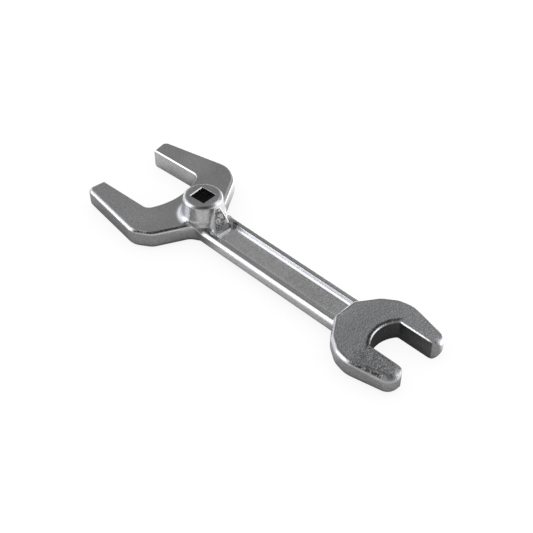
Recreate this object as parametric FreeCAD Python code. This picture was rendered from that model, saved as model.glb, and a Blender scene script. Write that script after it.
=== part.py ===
import FreeCAD, Part
import math
import os

# Double open-end wrench, forged in one piece.
# Millimetres, +X from the large head to the small head, +Z up.
# The origin is on the axis of the square socket, at the flat underside of the heads.

# Driving dimensions.
LARGE_OPENING = 32.0        # between the flats of the large jaws
SMALL_OPENING = 18.0        # between the flats of the small jaws
SOCKET_SQUARE = 8.0         # side of the square socket
HEAD_THICKNESS = 9.8
JAW_CHAMFER = 0.5
SOCKET_CHAMFER = 0.35

LARGE_TURN = 2.7            # degrees the large head is turned from the handle line
SOCKET_TURN = 4.0           # degrees the socket is turned from the handle line
LARGE_PIVOT_X = -24.6       # point of the handle line that the large head turns about
LARGE_HALF_WIDTH = 31.5     # of the large head, with its corners sharp
LARGE_ARM_TAPER = 6.6       # by which the head is narrower at the ends of its arms
LARGE_TIP_X = -27.8         # ends of the arms; x in the large head's plan starts at the pivot
LARGE_SHOULDER_R = 12.0     # the +Y shoulder is rounder than the -Y one
LARGE_THROAT_X = 7.8
LARGE_THROAT_R = 30.0
LARGE_THROAT_CORNER_R = 4.0
LARGE_MOUTH_R = 0.9         # inner corners of the large jaw tips
LARGE_EDGE_TOP_R = 1.7
LARGE_EDGE_BOTTOM_R = 3.2

HANDLE_HALF_WIDTH = 9.1
HANDLE_THICKNESS = 6.4
HANDLE_EDGE_R = 2.0
NECK_CURVE_R = 12.5         # curve by which the large head thins down to the handle
NECK_CURVE_X = 1.5          # where that curve starts

RECESS_HALF_WIDTH = 5.7     # at the top of the rails
RECESS_DEPTH = 2.2
RECESS_DRAFT = 15.0
RECESS_FILLET_R = 1.6
LOWER_END_R = 12.0          # rounded end of the lower recess, about the socket axis

BOSS_TOP_Z = 19.7
BOSS_TOP_R = 9.0
BOSS_EDGE_R = 1.6
BOSS_DRAFT = 8.0
BOSS_FLARE_R = 3.0          # where the boss meets the head
RAIL_FLARE_R = 2.2          # where it meets the rails
RECESS_FLARE_R = 1.8        # where it meets the recess floor
FLARE_INSET = 2.0           # gap between the flare's foot and the head's outline

RIB_TOP_HALF_WIDTH = 1.6    # the rib on the boss, between the rails
RIB_FOOT_HALF_WIDTH = 5.6
RIB_FOOT_X = 13.2
RIB_EDGE_R = 0.5

SMALL_HALF_WIDTH = 21.5     # of the small head, with its corners sharp
SMALL_TIP_X = 124.7         # end of the +Y arm
SMALL_ARM_STEP = 0.9        # the -Y arm of the small head ends this much sooner
SMALL_SHIFT_Y = -0.7        # the small head's outline sits a little toward -Y of its jaws
SMALL_THROAT_X = 102.4
SMALL_THROAT_R = 14.0
SMALL_THROAT_CORNER_R = 1.6
SMALL_MOUTH_R = 4.0         # inner corners of the small jaw tips
SMALL_EDGE_TOP_R = 1.8
SMALL_TIP_TOP_R = 3.2       # the top edge gets rounder towards the tip of the -Y arm
SMALL_TIP_TOP_FAR_R = 2.4   # and less so towards the tip of the +Y arm
SMALL_EDGE_BOTTOM_R = 3.8

V = FreeCAD.Vector
UP = V(0, 0, 1)
MID_Z = HEAD_THICKNESS / 2
RAIL_TOP_Z = MID_Z + HANDLE_THICKNESS / 2
RAIL_BOTTOM_Z = MID_Z - HANDLE_THICKNESS / 2


def rounded_face(corners):
    """Face with straight sides; a corner (x, y, r) is rounded by a tangent arc unless r is 0."""
    n = len(corners)
    rounds = []
    for i in range(n):
        x, y, r = corners[i]
        p = V(x, y, 0)
        if r == 0:
            rounds.append((p, None, p))
            continue
        nxt = corners[(i + 1) % n]
        a = (V(corners[i - 1][0], corners[i - 1][1], 0) - p).normalize()
        b = (V(nxt[0], nxt[1], 0) - p).normalize()
        half = a.getAngle(b) / 2
        start = p + a * (r / math.tan(half))
        end = p + b * (r / math.tan(half))
        mid = p + (a + b).normalize() * (r / math.sin(half) - r)
        rounds.append((start, mid, end))
    edges = []
    for i in range(n):
        start, mid, end = rounds[i]
        edges.append(Part.makeLine(rounds[i - 1][2], start))
        if mid is not None:
            edges.append(Part.Arc(start, mid, end).toShape())
    return Part.Face(Part.Wire(edges))


def gap_wire(opening, throat_x, throat_r, corner_r, tip_x, arm_step, mouth_r, grow, z):
    """Plan outline of a jaw gap open toward +X, grown outward by the given amount."""
    h = opening / 2
    cx = throat_x + throat_r
    corner_x = cx - math.sqrt((throat_r - corner_r) ** 2 - (h - corner_r) ** 2)
    corner_y = h - corner_r
    out = math.atan2(corner_y, corner_x - cx)
    lean = (out + math.pi / 2) / 2

    def at(x, y, r, angle):
        return V(x + r * math.cos(angle), y + r * math.sin(angle), z)

    throat = throat_r + grow
    corner = corner_r + grow
    mouth = mouth_r - grow
    mouth_x = tip_x - mouth_r
    mouth_y = h + mouth_r
    far = tip_x + h
    top = [
        at(cx, 0, throat, out), at(corner_x, corner_y, corner, lean),
        at(corner_x, corner_y, corner, math.pi / 2),
        at(mouth_x, mouth_y, mouth, -math.pi / 2), at(mouth_x, mouth_y, mouth, -math.pi / 4),
        at(mouth_x, mouth_y, mouth, 0), V(far, mouth_y, z),
    ]
    low = [V(p.x, -p.y, z) for p in top]
    for i in (3, 4, 5):
        low[i].x -= arm_step
    edges = [
        Part.Arc(low[0], V(cx - throat, 0, z), top[0]).toShape(),
        Part.Arc(top[0], top[1], top[2]).toShape(),
        Part.makeLine(top[2], top[3]),
        Part.Arc(top[3], top[4], top[5]).toShape(),
        Part.makeLine(top[5], top[6]),
        Part.makeLine(top[6], low[6]),
        Part.makeLine(low[6], low[5]),
        Part.Arc(low[5], low[4], low[3]).toShape(),
        Part.makeLine(low[3], low[2]),
        Part.Arc(low[2], low[1], low[0]).toShape(),
    ]
    return Part.Wire(edges)


def jaw_gap(*plan):
    """Gap cutter with the chamfers of its upper and lower edges, open toward +X."""
    c = JAW_CHAMFER
    over = 0.2
    zs = [-over, c, HEAD_THICKNESS - c, HEAD_THICKNESS + over]
    grows = [c + over, 0, 0, c + over]
    rings = [gap_wire(*plan, grow, z) for grow, z in zip(grows, zs)]
    parts = [Part.makeLoft([rings[i], rings[i + 1]], True, True) for i in range(3)]
    return parts[0].fuse(parts[1:])


def rim(shape, low, high, x_max):
    """Edges of the shape that lie wholly between two heights and not beyond x_max."""
    found = []
    for e in shape.Edges:
        b = e.BoundBox
        if b.ZMin > low and b.ZMax < high and e.CenterOfMass.x < x_max:
            found.append(e)
    return found


def growing_fillet(shape, radii):
    """Rounds each edge with its own radii at its two ends, and the edges that run on from it."""
    scratch = FreeCAD.newDocument()
    base = scratch.addObject("Part::Feature", "base")
    base.Shape = shape
    fillet = scratch.addObject("Part::Fillet", "fillet")
    fillet.Base = base
    numbered = []
    for edge, first, last in radii:
        number = 1 + [e.isSame(edge) for e in base.Shape.Edges].index(True)
        numbered.append((number, first, last))
    fillet.Edges = numbered
    scratch.recompute()
    result = fillet.Shape.copy()
    FreeCAD.closeDocument(scratch.Name)
    return result


def turned(points):
    """Corners of the large head's own plan carried into the handle's frame."""
    c = math.cos(math.radians(LARGE_TURN))
    s = math.sin(math.radians(LARGE_TURN))
    return [(LARGE_PIVOT_X + x * c - y * s, x * s + y * c, r) for x, y, r in points]


# Large head. Its plan carries a short neck that sinks into the handle.
half_plan = [
    (LARGE_TIP_X + 2.1, 12.0, 1.0), (LARGE_TIP_X, LARGE_HALF_WIDTH - LARGE_ARM_TAPER, 3.4),
    (9.5, LARGE_HALF_WIDTH, 8.5), (17.6, LARGE_HALF_WIDTH - 4.7, 8.0),
]
far_half = half_plan[:2] + [(x, y, LARGE_SHOULDER_R) for x, y, r in half_plan[2:]]
neck_x = 8.0
far_side = turned(far_half)
near_side = turned([(x, -y, r) for x, y, r in reversed(half_plan)])
large_outline = (
    far_side
    + [(3.4, HANDLE_HALF_WIDTH, 5.5), (neck_x, HANDLE_HALF_WIDTH, 0)]
    + [(neck_x, -HANDLE_HALF_WIDTH, 0), (2.8, -HANDLE_HALF_WIDTH, 5.5)]
    + near_side
)


def neck_drop(x):
    """How far each face of the neck has come in at x."""
    return NECK_CURVE_R - math.sqrt(NECK_CURVE_R ** 2 - (x - NECK_CURVE_X) ** 2)


x_0 = NECK_CURVE_X
x_mid = (x_0 + neck_x) / 2
x_end = neck_x + 1.0
t = HEAD_THICKNESS
back_x = LARGE_PIVOT_X + 2 * LARGE_TIP_X
side_view = Part.Face(Part.Wire([
    Part.makeLine(V(back_x, 0, 0), V(x_0, 0, 0)),
    Part.Arc(V(x_0, 0, 0), V(x_mid, 0, neck_drop(x_mid)), V(x_end, 0, neck_drop(x_end))).toShape(),
    Part.makeLine(V(x_end, 0, neck_drop(x_end)), V(x_end, 0, t - neck_drop(x_end))),
    Part.Arc(V(x_end, 0, t - neck_drop(x_end)), V(x_mid, 0, t - neck_drop(x_mid)), V(x_0, 0, t)).toShape(),
    Part.makeLine(V(x_0, 0, t), V(back_x, 0, t)),
    Part.makeLine(V(back_x, 0, t), V(back_x, 0, 0)),
]))
side_view.translate(V(0, -2 * LARGE_HALF_WIDTH, 0))
side_view = side_view.extrude(V(0, 4 * LARGE_HALF_WIDTH, 0))
large_gap = jaw_gap(
    LARGE_OPENING, -LARGE_THROAT_X, LARGE_THROAT_R, LARGE_THROAT_CORNER_R, -LARGE_TIP_X - 1.5, 0,
    LARGE_MOUTH_R,
)
large_gap.rotate(V(0, 0, 0), UP, 180 + LARGE_TURN)
large_gap.translate(V(LARGE_PIVOT_X, 0, 0))
plate = rounded_face(large_outline).extrude(UP * HEAD_THICKNESS).common(side_view)
plate = plate.makeFillet(LARGE_EDGE_TOP_R, rim(plate, MID_Z + 0.5, HEAD_THICKNESS + 1, neck_x - 0.2))
plate = plate.makeFillet(LARGE_EDGE_BOTTOM_R, rim(plate, -1, MID_Z - 0.5, neck_x - 0.2))
large_head = plate.cut(large_gap)

# Small head.
small_half = [
    (84.4, 6.0, 3.0), (91.0, 15.5, 8.0), (97.5, 20.0, 8.0),
    (104.0, SMALL_HALF_WIDTH, 12.0), (SMALL_TIP_X, SMALL_HALF_WIDTH - 4.4, 5.5),
]
small_outline = small_half + [(x, -y, r) for x, y, r in reversed(small_half)]
small_outline[5] = (SMALL_TIP_X - SMALL_ARM_STEP, 4.4 - SMALL_HALF_WIDTH, 5.5)
small_outline = [(x, y + SMALL_SHIFT_Y, r) for x, y, r in small_outline]
small_gap = jaw_gap(
    SMALL_OPENING, SMALL_THROAT_X, SMALL_THROAT_R, SMALL_THROAT_CORNER_R, SMALL_TIP_X,
    SMALL_ARM_STEP, SMALL_MOUTH_R,
)
plate = rounded_face(small_outline).extrude(UP * HEAD_THICKNESS)
top_edges = [
    edge for edge in rim(plate, MID_Z + 0.5, HEAD_THICKNESS + 1, SMALL_TIP_X + 1)
    if edge.CenterOfMass.x > SMALL_THROAT_X
]
longest = sorted(top_edges, key=lambda edge: edge.Length)[-3:]
near_arm, tips, far_arm = sorted(longest, key=lambda edge: edge.CenterOfMass.y)
plate = growing_fillet(plate, [
    (near_arm, SMALL_TIP_TOP_R, SMALL_EDGE_TOP_R),
    (tips, SMALL_TIP_TOP_FAR_R, SMALL_TIP_TOP_R),
    (far_arm, SMALL_EDGE_TOP_R, SMALL_TIP_TOP_FAR_R),
])
plate = plate.makeFillet(SMALL_EDGE_BOTTOM_R, rim(plate, -1, MID_Z - 0.5, SMALL_TIP_X + 1))
small_head = plate.cut(small_gap)

# Handle bar between the heads.
bar_start = 4.0
bar_end = 90.0
bar = Part.makeBox(
    bar_end - bar_start, 2 * HANDLE_HALF_WIDTH, HANDLE_THICKNESS,
    V(bar_start, -HANDLE_HALF_WIDTH, RAIL_BOTTOM_Z),
)
long_edges = [e for e in bar.Edges if e.Length > bar_end - bar_start - 0.1]
bar = bar.makeFillet(HANDLE_EDGE_R, long_edges)

# Boss: turned cone with a rounded top edge and a flare at the foot.
slope = math.tan(math.radians(BOSS_DRAFT))
q = math.sqrt(0.5)


def wall_r(z):
    """Radius of the boss at a height."""
    return BOSS_TOP_R + slope * (BOSS_TOP_Z - BOSS_EDGE_R - z)


def turned_boss(foot_z, flare_r, base_z):
    """Boss with its flare ending at foot_z, and straight sides from there down to base_z."""
    edge = BOSS_TOP_R - BOSS_EDGE_R
    shoulder_z = BOSS_TOP_Z - BOSS_EDGE_R
    neck = wall_r(foot_z + flare_r)
    profile = Part.Wire([
        Part.makeLine(V(0, 0, base_z), V(0, 0, BOSS_TOP_Z)),
        Part.makeLine(V(0, 0, BOSS_TOP_Z), V(edge, 0, BOSS_TOP_Z)),
        Part.Arc(
            V(edge, 0, BOSS_TOP_Z),
            V(edge + BOSS_EDGE_R * q, 0, shoulder_z + BOSS_EDGE_R * q),
            V(BOSS_TOP_R, 0, shoulder_z),
        ).toShape(),
        Part.makeLine(V(BOSS_TOP_R, 0, shoulder_z), V(neck, 0, foot_z + flare_r)),
        Part.Arc(
            V(neck, 0, foot_z + flare_r),
            V(neck + flare_r * (1 - q), 0, foot_z + flare_r * (1 - q)),
            V(neck + flare_r, 0, foot_z),
        ).toShape(),
        Part.makeLine(V(neck + flare_r, 0, foot_z), V(neck + flare_r, 0, base_z)),
        Part.makeLine(V(neck + flare_r, 0, base_z), V(0, 0, base_z)),
    ])
    return Part.Face(profile).revolve(V(0, 0, 0), UP, 360)


sink = 0.05
boss = turned_boss(HEAD_THICKNESS - sink, BOSS_FLARE_R, MID_Z)
inset = rounded_face(large_outline).makeOffset2D(-FLARE_INSET).extrude(UP * (BOSS_TOP_Z + 1))
side_r = wall_r(HEAD_THICKNESS)
boss = boss.common(inset.fuse(Part.makeCylinder(side_r, BOSS_TOP_Z + 1)))
sleeve = Part.makeCylinder(side_r, MID_Z, V(0, 0, MID_Z))

body = large_head.fuse([bar, boss, sleeve])

# Recess between the rails, the same on both sides of the handle.
recess_x0 = 8.6
recess_x1 = 88.0


def recess_section(z_edge, outward):
    """Trough section across the handle: drafted walls and rounded lower corners."""
    lean = math.tan(math.radians(RECESS_DRAFT))
    high = HEAD_THICKNESS
    floor_half = RECESS_HALF_WIDTH - RECESS_DEPTH * lean
    pts = [
        (-floor_half, -RECESS_DEPTH), (floor_half, -RECESS_DEPTH), (RECESS_HALF_WIDTH, 0),
        (RECESS_HALF_WIDTH, high), (-RECESS_HALF_WIDTH, high), (-RECESS_HALF_WIDTH, 0),
    ]
    ring = [V(recess_x0, y, z_edge + outward * dz) for y, dz in pts]
    tool = Part.Face(Part.makePolygon(ring + [ring[0]])).extrude(V(recess_x1 - recess_x0, 0, 0))
    floor_z = z_edge - outward * RECESS_DEPTH
    lower = [
        e for e in tool.Edges
        if e.Length > recess_x1 - recess_x0 - 0.1 and abs(e.CenterOfMass.z - floor_z) < 0.01
    ]
    return tool.makeFillet(RECESS_FILLET_R, lower)


body = body.cut([recess_section(RAIL_TOP_Z, 1), recess_section(RAIL_BOTTOM_Z, -1)])

# Tapered rib with a flat sloping face, from the boss down to the recess floor.
def rib_ring(z, half, face_x):
    """Level outline of the rib, from the socket axis out to its flat face."""
    return Part.makePolygon([
        V(0, half, z), V(0, -half, z), V(face_x, -half, z), V(face_x, half, z), V(0, half, z),
    ])


floor_z = RAIL_TOP_Z - RECESS_DEPTH
rib_top_z = BOSS_TOP_Z - BOSS_EDGE_R - 0.4
rib_top_x = math.sqrt(wall_r(rib_top_z) ** 2 - RIB_TOP_HALF_WIDTH ** 2)
rib = Part.makeLoft([
    rib_ring(floor_z - 0.5, RIB_FOOT_HALF_WIDTH, RIB_FOOT_X),
    rib_ring(rib_top_z, RIB_TOP_HALF_WIDTH, rib_top_x),
], True, True)
rib = rib.makeFillet(RIB_EDGE_R, [
    e for e in rib.Edges
    if e.BoundBox.ZMax - e.BoundBox.ZMin > 5 and e.CenterOfMass.x > 5
])
lower_fill = Part.makeCylinder(LOWER_END_R, MID_Z - RAIL_BOTTOM_Z, V(0, 0, RAIL_BOTTOM_Z))
lower_fill = lower_fill.common(bar)

# The boss runs down to the recess floor between the rails, and flares onto the top of each rail.
reach_x = 2 * BOSS_TOP_R
deep = turned_boss(floor_z - sink, RECESS_FLARE_R, MID_Z)
deep = deep.common(Part.makeBox(reach_x, 2 * RECESS_HALF_WIDTH, BOSS_TOP_Z, V(0, -RECESS_HALF_WIDTH, 0)))
rail_in = RECESS_HALF_WIDTH - 0.3
rail_out = HANDLE_HALF_WIDTH - 0.9
rail_width = rail_out - rail_in
on_rails = turned_boss(RAIL_TOP_Z - sink, RAIL_FLARE_R, MID_Z)
on_rails = on_rails.common([
    Part.makeBox(reach_x, rail_width, BOSS_TOP_Z, V(0, start_y, 0))
    for start_y in (-rail_out, rail_in)
])
body = body.fuse([rib, lower_fill, deep, on_rails, small_head])

# Square socket right through the boss, with its edges broken at both ends.
half = SOCKET_SQUARE / 2
over = 1.0
socket = Part.makeBox(SOCKET_SQUARE, SOCKET_SQUARE, BOSS_TOP_Z + 2 * over, V(-half, -half, -over))
socket.rotate(V(0, 0, 0), UP, SOCKET_TURN)
body = body.cut(socket)
mouth_edges = []
for edge in body.Edges:
    middle = edge.CenterOfMass
    level = min(abs(middle.z), abs(middle.z - BOSS_TOP_Z))
    near_axis = math.hypot(middle.x, middle.y) < half + 0.01
    if level < 0.01 and abs(edge.Length - SOCKET_SQUARE) < 0.01 and near_axis:
        mouth_edges.append(edge)
body = body.makeChamfer(SOCKET_CHAMFER, mouth_edges)
wrench = body.removeSplitter()
if wrench.ShapeType == "Compound" and len(wrench.Solids) == 1:
    wrench = wrench.Solids[0]

print("valid", wrench.isValid(), "solids", len(wrench.Solids), "volume", round(wrench.Volume))
box = wrench.BoundBox
print("box", [round(v, 2) for v in (box.XMin, box.XMax, box.YMin, box.YMax, box.ZMin, box.ZMax)])
os.makedirs("parts", exist_ok=True)
wrench.exportStep("parts/wrench.step")
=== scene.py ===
import bpy
import math
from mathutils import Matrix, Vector

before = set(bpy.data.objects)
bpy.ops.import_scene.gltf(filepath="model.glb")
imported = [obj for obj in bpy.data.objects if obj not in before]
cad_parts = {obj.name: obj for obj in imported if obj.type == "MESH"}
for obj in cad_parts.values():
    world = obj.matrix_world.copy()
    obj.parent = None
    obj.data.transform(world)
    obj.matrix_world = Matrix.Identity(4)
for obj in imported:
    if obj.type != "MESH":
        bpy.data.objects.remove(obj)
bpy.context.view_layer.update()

scene = bpy.context.scene
scene.view_settings.view_transform = "Standard"
scene.cycles.caustics_reflective = False

# Camera, at the photograph's angle.
TARGET = Vector((0.03767, 0.00194, 0.0))
AZIMUTH = 44.7
ELEVATION = 43.0
DISTANCE = 0.4523
IMAGE_SIZE = 533
FOCAL_PIXELS = 1035
SENSOR = 36.0


def direction(azimuth, elevation):
    """Unit vector; azimuth 0 is towards -Y and 90 towards +X, in degrees."""
    a, e = math.radians(azimuth), math.radians(elevation)
    return Vector((math.sin(a) * math.cos(e), -math.cos(a) * math.cos(e), math.sin(e)))


def make_camera():
    back = direction(AZIMUTH, ELEVATION)
    data = bpy.data.cameras.new("camera")
    data.sensor_width = SENSOR
    data.lens = FOCAL_PIXELS / IMAGE_SIZE * SENSOR
    data.clip_start = 0.01
    camera = bpy.data.objects.new("camera", data)
    camera.location = TARGET + back * DISTANCE
    camera.rotation_euler = back.to_track_quat("Z", "Y").to_euler()
    scene.collection.objects.link(camera)
    scene.camera = camera


make_camera()


NOISE_SPAN = (0.3, 0.7)     # where most values of a noise texture lie


class Tree:
    """Short ways to add nodes; a value is a number, a colour or another node's output."""

    def __init__(self, tree):
        self.nodes = tree.nodes
        self.links = tree.links
        self.nodes.clear()

    def put(self, socket, value):
        if isinstance(value, bpy.types.NodeSocket):
            self.links.new(value, socket)
        else:
            socket.default_value = value

    def add(self, kind, settings=None, **inputs):
        node = self.nodes.new(kind)
        for key, value in (settings or {}).items():
            setattr(node, key, value)
        for key, value in inputs.items():
            self.put(node.inputs[key.replace("_", " ")], value)
        return node

    def math(self, operation, *values):
        node = self.add("ShaderNodeMath", {"operation": operation})
        for socket, value in zip(node.inputs, values):
            self.put(socket, value)
        return node.outputs[0]

    def ramp(self, value, low, high, to_low, to_high):
        """Smooth step of a value from one range to another."""
        node = self.add("ShaderNodeMapRange", {"interpolation_type": "SMOOTHSTEP"})
        for socket, item in zip(node.inputs, (value, low, high, to_low, to_high)):
            self.put(socket, item)
        return node.outputs[0]

    def rise(self, value, low, high):
        """0 below the low end and 1 above the high end."""
        return self.ramp(value, low, high, 0.0, 1.0)

    def fall(self, value, low, high):
        """1 below the low end and 0 above the high end."""
        return self.ramp(value, low, high, 1.0, 0.0)

    def between(self, value, start, end):
        """Rises over the first span and falls over the second."""
        return self.product(self.rise(value, *start), self.fall(value, *end))

    def product(self, *values):
        result = values[0]
        for value in values[1:]:
            result = self.math("MULTIPLY", result, value)
        return result

    def total(self, *values):
        result = values[0]
        for value in values[1:]:
            result = self.math("ADD", result, value)
        return result

    def largest(self, *values):
        result = values[0]
        for value in values[1:]:
            result = self.math("MAXIMUM", result, value)
        return result

    def less(self, mask, share):
        """1 outside the mask and 1 - share inside it."""
        return self.math("SUBTRACT", 1.0, self.math("MULTIPLY", mask, share))

    def more(self, mask, share):
        """1 outside the mask and 1 + share inside it."""
        return self.math("ADD", 1.0, self.math("MULTIPLY", mask, share))

    def size(self, value):
        return self.math("ABSOLUTE", value)

    def swing(self, noise, amount):
        """Noise of 0 to 1 turned into a change around 0."""
        return self.math("MULTIPLY", self.math("SUBTRACT", noise, 0.5), amount)

    def noise(self, vector, scale, detail, roughness, distortion=0.0):
        node = self.add("ShaderNodeTexNoise", Vector=vector, Scale=scale, Detail=detail,
                        Roughness=roughness, Distortion=distortion)
        return node.outputs[0]

    def scaled(self, vector, factor):
        node = self.add("ShaderNodeVectorMath", {"operation": "SCALE"}, Scale=factor)
        self.put(node.inputs[0], vector)
        return node.outputs[0]

    def split(self, vector):
        return self.add("ShaderNodeSeparateXYZ", Vector=vector).outputs

    def mix_shaders(self, factor, first, second):
        node = self.nodes.new("ShaderNodeMixShader")
        for socket, value in zip(node.inputs, (factor, first.outputs[0], second.outputs[0])):
            self.put(socket, value)
        return node


def new_material(name):
    material = bpy.data.materials.new(name)
    material.use_nodes = True
    return material, Tree(material.node_tree)


# Room that the metal mirrors.
# A panel is its azimuth, elevation, half width and half height in degrees, and the light it adds.
ROOM_LEVEL = 0.30
PANELS = [
    (320, 10, 20, 50, 1.50),
    (280, 22, 32, 42, 0.60),
    (178, 54, 36, 9, 1.00),
    (140, 12, 20, 34, 0.90),
    (200, 12, 14, 30, 0.25),
]
# A dark zone is given the same way, and ends with the share of the light that it keeps.
DARK_ZONES = [
    (70, 50, 46, 34, 0.42),
    (262, 59, 20, 8, 0.40),
]
# Overhead is a dark cap about one direction. It fades in between two angles from it, in degrees.
DARK_ZENITH = (130, 76)
ZENITH_ANGLES = (31, 20)
ZENITH_TAKES = 0.45
UNEVEN_SCALE = 14.0
UNEVEN_LEVELS = (0.65, 1.35)
PANEL_POWER = 4.0           # a higher power gives a panel a sharper edge
LEAST_LEVEL = 0.01
WARM = (1.0, 0.995, 0.98, 1)
COOL = (0.94, 0.965, 1.0, 1)
WARM_LEVEL = 0.25
COOL_LEVEL = 0.9
FLOOR_LIGHT = 0.75


def room_level(t, way):
    """Light of the room in a direction: the panels, less the dark zones, made a little uneven."""
    east, north, up = t.split(way)
    way_azimuth = t.math("DEGREES", t.math("ARCTAN2", east, t.math("MULTIPLY", north, -1.0)))
    way_elevation = t.math("DEGREES", t.math("ARCSINE", up))

    def panel(azimuth, elevation, wide, high):
        """1 inside a soft-edged panel and 0 away from it."""
        turn = t.math("WRAP", t.math("SUBTRACT", way_azimuth, azimuth), 180.0, -180.0)
        u = t.size(t.math("DIVIDE", turn, wide))
        v = t.size(t.math("DIVIDE", t.math("SUBTRACT", way_elevation, elevation), high))
        far = t.total(t.math("POWER", u, PANEL_POWER), t.math("POWER", v, PANEL_POWER))
        return t.math("EXPONENT", t.math("MULTIPLY", far, -1.0))

    level = ROOM_LEVEL
    for *place, light in PANELS:
        level = t.math("ADD", t.math("MULTIPLY", panel(*place), light), level)
    for *place, kept in DARK_ZONES:
        level = t.product(level, t.less(panel(*place), 1.0 - kept))
    towards = t.add("ShaderNodeVectorMath", {"operation": "DOT_PRODUCT"})
    t.put(towards.inputs[0], way)
    t.put(towards.inputs[1], direction(*DARK_ZENITH))
    edges = [math.cos(math.radians(angle)) for angle in ZENITH_ANGLES]
    zenith = t.rise(towards.outputs["Value"], *edges)
    level = t.product(level, t.less(zenith, ZENITH_TAKES))
    uneven = t.noise(way, UNEVEN_SCALE, 3.0, 0.65)
    return t.product(level, t.ramp(uneven, *NOISE_SPAN, *UNEVEN_LEVELS))


def make_world():
    """White to the camera, a plain light for all that isn't shiny, and the room for mirrored rays."""
    world = bpy.data.worlds.new("studio")
    world.use_nodes = True
    scene.world = world
    t = Tree(world.node_tree)
    level = room_level(t, t.add("ShaderNodeTexCoord").outputs["Generated"])
    tint = t.add("ShaderNodeMix", {"data_type": "RGBA"}, Factor=t.rise(level, WARM_LEVEL, COOL_LEVEL))
    for socket, value in zip([i for i in tint.inputs if i.type == "RGBA"], (WARM, COOL)):
        socket.default_value = value
    tinted = [o for o in tint.outputs if o.type == "RGBA"][0]
    room = t.add("ShaderNodeBackground", Color=tinted, Strength=t.largest(level, LEAST_LEVEL))
    plain = t.add("ShaderNodeBackground", Color=(1, 1, 1, 1), Strength=FLOOR_LIGHT)
    white = t.add("ShaderNodeBackground", Color=(1, 1, 1, 1), Strength=1.0)
    path = t.add("ShaderNodeLightPath")
    unseen = t.mix_shaders(path.outputs["Is Glossy Ray"], plain, room)
    both = t.mix_shaders(path.outputs["Is Camera Ray"], unseen, white)
    t.add("ShaderNodeOutputWorld", Surface=both.outputs[0])


make_world()

# Floor: white to the camera, with a faint shadow. To mirrored rays it glows with painted light: dim in
# front of the wrench, with painted pools of light beside the handle and in the large jaws, and a bright
# one behind the wrench.
FLOOR_HALF = 3.0
FLOOR_WHITE = 1.02
SHADOW_SHARE = 0.2
SHEET_GREY = 0.8
MIRRORED_FRONT = 0.24
MIRRORED_EXTRA = 0.34
MIRRORED_BEHIND = 1.3
BRIGHT_BEHIND_Y = (0.010, 0.026)
JAWS_END_X = (-0.032, -0.024)
JAWS_START_Y = (-0.022, -0.016)
HANDLE_START_X = (0.004, 0.016)
HANDLE_END_X = (0.088, 0.098)
CONTACT_REACH = 0.014
CONTACT_DARKEST = 0.35
CONTACT_LEAST = 0.15


def painted_floor_light(t):
    """Painted light of the floor as the metal mirrors it, with a painted contact shadow where the wrench
    is near.
    """
    # painted contact shadow: the mirrored glow fades where the wrench is near
    contact = t.add("ShaderNodeAmbientOcclusion", {"samples": 8}, Distance=CONTACT_REACH)
    near = t.ramp(contact.outputs["AO"], CONTACT_DARKEST, 1.0, CONTACT_LEAST, 1.0)
    x, y = t.split(t.add("ShaderNodeNewGeometry").outputs["Position"])[:2]
    # painted pools of light in the large jaws, beside the handle and behind the wrench
    jaws = t.product(t.fall(x, *JAWS_END_X), t.rise(y, *JAWS_START_Y))
    beside = t.product(t.rise(x, *HANDLE_START_X), t.fall(x, *HANDLE_END_X))
    extra = t.product(t.largest(jaws, beside), MIRRORED_EXTRA)
    front = t.math("ADD", MIRRORED_FRONT, extra)
    behind = t.rise(y, *BRIGHT_BEHIND_Y)
    return t.product(near, t.ramp(behind, 0.0, 1.0, front, MIRRORED_BEHIND))


def make_floor():
    mesh = bpy.data.meshes.new("floor")
    r = FLOOR_HALF
    mesh.from_pydata([(-r, -r, 0), (r, -r, 0), (r, r, 0), (-r, r, 0)], [], [(0, 1, 2, 3)])
    plane = bpy.data.objects.new("floor", mesh)
    scene.collection.objects.link(plane)
    material, t = new_material("floor_white")
    path = t.add("ShaderNodeLightPath")
    mirrored = t.largest(path.outputs["Is Glossy Ray"], path.outputs["Is Transmission Ray"])
    white = FLOOR_WHITE - SHADOW_SHARE * FLOOR_LIGHT
    strength = t.ramp(mirrored, 0.0, 1.0, white, painted_floor_light(t))
    glow = t.add("ShaderNodeEmission", Strength=strength)
    faint = t.add("ShaderNodeBsdfDiffuse", Color=(SHADOW_SHARE, SHADOW_SHARE, SHADOW_SHARE, 1))
    shown = t.nodes.new("ShaderNodeAddShader")
    t.put(shown.inputs[0], faint.outputs[0])
    t.put(shown.inputs[1], glow.outputs[0])
    sheet = t.add("ShaderNodeBsdfDiffuse", Color=(SHEET_GREY, SHEET_GREY, SHEET_GREY, 1))
    seen = t.largest(path.outputs["Is Camera Ray"], mirrored)
    both = t.mix_shaders(seen, sheet, shown)
    t.add("ShaderNodeOutputMaterial", Surface=both.outputs[0])
    mesh.materials.append(material)


make_floor()

# Chrome plate over a forged surface. Places are in millimetres of the wrench's own frame, a pair of
# them is the span over which a mask fades, and a slope is a part of the surface's normal. A spot is
# x and y in plan, its radius and the width of its soft edge.
PLATE_COLOUR = (0.6, 0.6, 0.61)
BRIGHTEST_TONE = 1.55       # so that the plate never mirrors more light than falls on it
MIRROR_ROUGHNESS = (0.08, 0.14)
GROUND_ROUGHNESS = 0.2      # added where the metal is ground
MM_PER_METRE = 1000.0
GRAIN_HEIGHT = 0.075e-3
SWELL_HEIGHT = 0.035e-3
CREASE_DEPTH = 0.03e-3
SEAM_HEIGHT = 0.08e-3
EDGE_RADIUS = (0.0003, 0.0020)
RAIL_SOFTNESS = 0.18

FLAT_SLOPE = (0.75, 0.95)
UPRIGHT_SLOPE = (0.2, 0.35)
EDGE_TOP_SLOPE = (0.90, 0.98)
# roundings and chamfers between these slopes get painted highlights
HIGHLIGHT_SLOPE = (0.12, 0.30)
BAND_SLOPES = ((0.45, 0.60), (0.84, 0.94))

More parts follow.
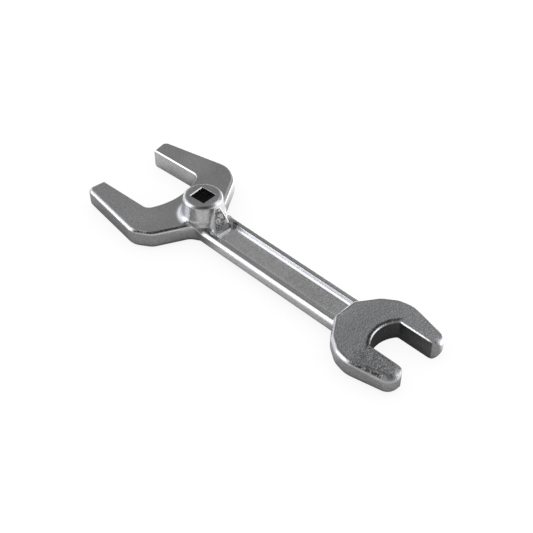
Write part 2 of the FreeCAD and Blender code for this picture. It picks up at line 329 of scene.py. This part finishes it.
RECESS_X = ((12.0, 15.0), (86.5, 87.5))
RECESS_FLOOR_Z = (6.0, 6.6)
RAIL_X = ((9.0, 13.0), (86.0, 89.0))
RAIL_INSIDE_Y = (4.0, 4.8)
RAIL_FOOT_Z = (4.0, 5.0)
RAIL_WALL_Y = (5.8, 6.0)
RAIL_WALL_Z = (7.7, 8.0)
# painted shade in the corner at the far rail's root
RAIL_ROOT_SHADE_SPOT = (14.3, 5.5, 0.8, 1.2)
RAIL_SPOT_Z = (5.0, 5.6)
# painted shade lines along the rails' inner top edges
NEAR_EDGE_SHADE_Y = ((-5.9, -5.7), (-5.4, -5.1))
FAR_EDGE_SHADE_Y = ((5.5, 5.7), (6.0, 6.3))
# painted highlight strip on the recess floor beside the -Y rail
HIGHLIGHT_STRIP_Y = ((-5.6, -5.2), (-3.6, -2.6))

BOSS_R = ((6.8, 7.6), (13.5, 15.0))
BOSS_FOOT_Z = (6.6, 7.4)
BOSS_WALL_Z = (7.4, 8.0)
BOSS_RIM_Z = (17.0, 18.0)
BOSS_BACK = (2.0, 7.0)      # along the diagonal, y less x
# painted shade on the boss's front rim, about this spot
BOSS_FRONT_SHADE_SPOT = (6.3, -6.4, 2.0, 3.0)
RIB_X = ((8.0, 8.5), (14.0, 15.0))
RIB_Z = (6.5, 11.0)
RIB_SIDE_SLOPE = (0.03, 0.09)
RIB_FRONT_SLOPE = (0.85, 0.9)
RIB_UP_SLOPE = (0.18, 0.23)

SMALL_HEAD_X = (80.0, 96.0)
SMALL_WALL_X = (101.5, 102.2)
SMALL_WALL_Y = (9.15, 9.4)
SMALL_THROAT = (116.4, 0.0)
# painted dark reflection along the raised edge of the small throat
THROAT_LINE_R = ((14.5, 14.8), (15.5, 16.3))
THROAT_LINE_X = ((95.0, 97.0), (104.5, 106.5))
SMALL_TIPS_X = (117.0, 120.0)
SEAM_START_X = (112.0, 118.0)
SEAM_Z = 4.9
SEAM_HALF_WIDTH = 0.5
WRINKLED_SPOT = (112.5, -13.5, 6.5, 5.0)
SMALL_BAND_X = ((102.0, 106.0), (118.0, 121.0))
SMALL_BAND_Y = (-15.0, -13.0)

LARGE_WALL_X = (-29.0, -28.0)
LARGE_WALL_Y = (17.6, 18.2)
LARGE_ARM_X = (-14.0, -10.0)
LARGE_ARM_Y = (-18.0, -12.0)
LARGE_BAND_X = ((-16.0, -12.0), (0.0, 3.0))
LARGE_BAND_Y = (-12.0, -10.0)
# painted highlight: a lighter patch on the top of the large head's +Y arm
PAINTED_HIGHLIGHT_SPOT = (-29.0, 21.5, 3.0, 9.0)


class Surface:
    """Places, slopes and noises of the wrench, and the masks that several layers of the plate share."""

    def __init__(self, t):
        self.t = t
        mm = t.scaled(t.add("ShaderNodeTexCoord").outputs["Object"], MM_PER_METRE)
        self.x, self.y, self.z = t.split(mm)
        self.nx, self.ny, self.nz = t.split(t.add("ShaderNodeNewGeometry").outputs["Normal"])
        self.aside = t.size(self.y)

        # Each noise has its scale per millimetre, its detail and its roughness.
        self.swell = t.noise(mm, 0.33, 1.0, 0.4)
        self.grain = t.noise(mm, 1.3, 3.0, 0.6)
        self.speck = t.noise(mm, 2.6, 2.0, 0.7)
        self.patch = t.noise(mm, 0.07, 2.0, 0.5)
        self.mottle = t.noise(mm, 0.75, 3.0, 0.75)

        self.upward = t.rise(self.nz, *FLAT_SLOPE)
        self.upright = t.fall(t.size(self.nz), *UPRIGHT_SLOPE)
        self.small_head = t.rise(self.x, *SMALL_HEAD_X)
        self.handle_top = t.product(t.between(self.x, *RECESS_X), self.upward)
        self.recess = t.product(self.handle_top, t.fall(self.z, *RECESS_FLOOR_Z))
        self.rail = t.product(
            t.between(self.x, *RAIL_X), t.rise(self.aside, *RAIL_INSIDE_Y), t.rise(self.z, *RAIL_FOOT_Z),
        )
        self.rail_wall = t.product(
            self.rail, t.fall(self.z, *RAIL_WALL_Z), t.fall(self.aside, *RAIL_WALL_Y),
        )
        axis = self.plan_distance(0.0, 0.0)
        self.boss = t.product(t.between(axis, *BOSS_R), t.rise(self.z, *BOSS_FOOT_Z))
        self.rib_face = t.product(
            t.fall(t.size(self.ny), *RIB_SIDE_SLOPE), t.rise(self.nx, *RIB_FRONT_SLOPE),
            t.rise(self.nz, *RIB_UP_SLOPE), t.between(self.x, *RIB_X), t.rise(self.z, *RIB_Z),
        )
        self.small_walls = t.product(
            self.upright, t.rise(self.x, *SMALL_WALL_X), t.fall(self.aside, *SMALL_WALL_Y),
        )
        self.large_walls = t.product(
            self.upright, t.fall(self.x, *LARGE_WALL_X), t.fall(self.aside, *LARGE_WALL_Y),
        )

        # Rough skin: stronger on the small head and the large head's -Y arm, creased on the small -Y arm.
        large_arm = t.product(t.fall(self.x, *LARGE_ARM_X), t.fall(self.y, *LARGE_ARM_Y))
        self.rough_skin = t.math("ADD", 0.85, t.product(t.largest(self.small_head, large_arm), 0.6))
        folds = t.swing(t.noise(mm, 0.55, 2.0, 0.6, 1.6), 1.0)
        wrinkled = t.product(self.small_head, self.upward, self.spot(*WRINKLED_SPOT))
        self.crease = t.product(t.fall(t.size(folds), 0.0, 0.05), wrinkled)

    def plan_distance(self, px, py):
        """Distance from a place in plan."""
        dx = self.t.math("SUBTRACT", self.x, px)
        dy = self.t.math("SUBTRACT", self.y, py)
        return self.t.math("SQRT", self.t.total(self.t.product(dx, dx), self.t.product(dy, dy)))

    def spot(self, px, py, radius, soft):
        """1 near a place in plan and 0 away from it."""
        return self.t.fall(self.plan_distance(px, py), radius, radius + soft)

    def slope(self, rise, fall=EDGE_TOP_SLOPE):
        """1 on roundings and chamfers that face upward by more than one span and less than another."""
        return self.t.between(self.nz, rise, fall)


def plate_normal(s):
    """Grain, creases and the seam of the small tips, over edges that are rounded in the shading."""
    t = s.t
    seam = t.product(
        t.fall(t.size(t.math("SUBTRACT", s.z, SEAM_Z)), 0.0, SEAM_HALF_WIDTH), s.upright,
        t.rise(s.x, *SEAM_START_X), t.less(s.small_walls, 1.0),
    )
    height = t.total(
        t.product(s.swell, SWELL_HEIGHT), t.product(s.grain, s.rough_skin, GRAIN_HEIGHT),
        t.product(s.crease, -CREASE_DEPTH), t.product(seam, SEAM_HEIGHT),
    )
    soft = t.largest(t.product(s.rail, RAIL_SOFTNESS), s.boss, t.rise(s.x, *SMALL_TIPS_X))
    rounded = t.add("ShaderNodeBevel", {"samples": 6}, Radius=t.ramp(soft, 0.0, 1.0, *EDGE_RADIUS))
    bump = t.add("ShaderNodeBump", Strength=1.0, Distance=1.0, Height=height, Normal=rounded.outputs[0])
    return bump.outputs[0]


def skin_tone(s):
    """Specks and patches of the plate, coarser on the sides and in the recess, and a painted highlight on
    the top of the large head's +Y arm.
    """
    t = s.t
    coarse = t.largest(s.recess, t.product(s.upright, t.less(s.rail_wall, 1.0)))
    return t.total(
        1.0,
        t.swing(s.speck, t.product(s.rough_skin, 0.8)),
        t.swing(s.patch, 0.25),
        # painted highlight on the top of the large head's +Y arm
        t.product(s.spot(*PAINTED_HIGHLIGHT_SPOT), s.upward, 0.22),
        t.swing(s.mottle, t.math("ADD", 0.15, t.product(coarse, 0.65))),
    )


def painted_shade_and_dark_walls(s):
    """Painted shade in the creases, darker inner walls of the jaws, a painted dark reflection along the
    small throat's raised edge, painted shade on the boss's wall and rims, a painted dark reflection on
    the rib's face, and painted shade at the far rail's root.
    """
    t = s.t
    # painted dark reflection along the raised edge of the small throat
    throat = t.total(s.plan_distance(*SMALL_THROAT), t.swing(s.grain, 2.5))
    burr_reflection = t.product(t.between(throat, *THROAT_LINE_R), t.between(s.x, *THROAT_LINE_X), s.upward)
    # painted shade on the boss: its wall a little darker, its front and back rims darker
    boss_wall_shade = t.product(s.boss, s.upright, t.rise(s.z, *BOSS_WALL_Z))
    boss_front_shade = t.product(s.boss, s.spot(*BOSS_FRONT_SHADE_SPOT), s.slope((0.25, 0.45)))
    boss_back_shade = t.product(
        s.boss, t.rise(s.z, *BOSS_RIM_Z), t.rise(t.math("SUBTRACT", s.y, s.x), *BOSS_BACK),
        s.slope((0.05, 0.2)),
    )
    # painted shade in the corner at the far rail's root, by the recess's end
    rail_root_shade = t.product(s.spot(*RAIL_ROOT_SHADE_SPOT), t.rise(s.z, *RAIL_SPOT_Z))
    return t.product(
        # painted shade in the creases of the small head's -Y arm
        t.less(s.crease, 0.75),
        t.less(burr_reflection, 0.8),
        # the small jaw's inner walls darker, the large jaw's a little darker
        t.less(s.small_walls, 0.66),
        t.less(s.large_walls, 0.05),
        # painted dark reflection on the rib's face, broken by mottle
        t.less(s.rib_face, t.ramp(s.mottle, 0.42, 0.62, 0.90, 0.35)),
        # painted shade on the boss's wall and its front and back rims
        t.less(boss_wall_shade, 0.12),
        t.less(boss_front_shade, 0.60),
        t.less(boss_back_shade, 0.60),
        # painted shade at the far rail's root
        t.less(rail_root_shade, 0.75),
    )


def painted_dark_bands(s):
    """Painted dark reflection: broken bands along the -Y rounding of both heads."""
    t = s.t
    small_side = t.product(t.between(s.x, *SMALL_BAND_X), t.fall(s.y, *SMALL_BAND_Y))
    large_side = t.product(t.between(s.x, *LARGE_BAND_X), t.fall(s.y, *LARGE_BAND_Y))
    broken = t.rise(t.product(t.total(s.speck, s.mottle), 0.5), 0.44, 0.50)
    # painted dark reflection on the roundings, broken by noise
    band = t.product(s.slope(*BAND_SLOPES), t.largest(small_side, large_side), broken)
    return t.less(band, 0.85)


def painted_edge_highlights(s):
    """Painted highlights: roundings and chamfers are painted brighter than the flats, most of all on the
    rails' inner walls.
    """
    t = s.t
    lit_edges = t.product(s.slope(HIGHLIGHT_SLOPE), t.less(s.rib_face, 1.0))
    return t.product(t.more(lit_edges, 0.55), t.more(t.product(s.rail_wall, lit_edges), 0.30))


def plate_tone(s):
    """How light the plate is: all marks together, with painted shade lines along the rails' inner edges,
    a recess floor painted lighter with a painted highlight strip still beside the -Y rail, and painted
    shade on the top of the small head."""
    t = s.t
    # painted shade lines along the rails' inner top edges, made ragged by grain
    wander = t.total(s.y, t.swing(s.grain, 0.6))
    edge_shade_lines = t.largest(t.between(wander, *NEAR_EDGE_SHADE_Y), t.between(wander, *FAR_EDGE_SHADE_Y))
    rail_edge_shade = t.product(s.handle_top, edge_shade_lines)
    # painted highlight strip on the recess floor beside the -Y rail
    strip = t.product(s.handle_top, t.between(s.y, *HIGHLIGHT_STRIP_Y))
    tone = t.product(skin_tone(s), painted_shade_and_dark_walls(s), painted_dark_bands(s), painted_edge_highlights(s))
    tone = t.product(
        t.total(tone, t.product(strip, 0.20)),
        # painted light: the recess floor lighter towards the large head's end
        t.more(s.recess, t.ramp(s.x, 30.0, 80.0, 0.32, 0.05)),
        # painted shade lines along the rails' inner top edges
        t.less(rail_edge_shade, 0.45),
        # painted shade on the top of the small head
        t.less(t.product(s.small_head, s.upward), 0.36),
    )
    return t.math("MINIMUM", tone, BRIGHTEST_TONE)


def make_plate():
    material, t = new_material("chrome_plate")
    s = Surface(t)
    mirror = t.ramp(s.grain, *NOISE_SPAN, *MIRROR_ROUGHNESS)
    ground = t.product(t.largest(s.small_walls, s.large_walls, s.rail_wall), GROUND_ROUGHNESS)
    shader = t.add(
        "ShaderNodeBsdfPrincipled", Metallic=1.0,
        Base_Color=t.scaled(PLATE_COLOUR, plate_tone(s)),
        Roughness=t.total(mirror, ground),
        Normal=plate_normal(s),
    )
    t.add("ShaderNodeOutputMaterial", Surface=shader.outputs[0])
    return material


plate = make_plate()
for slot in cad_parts["wrench"].material_slots:
    slot.material = plate
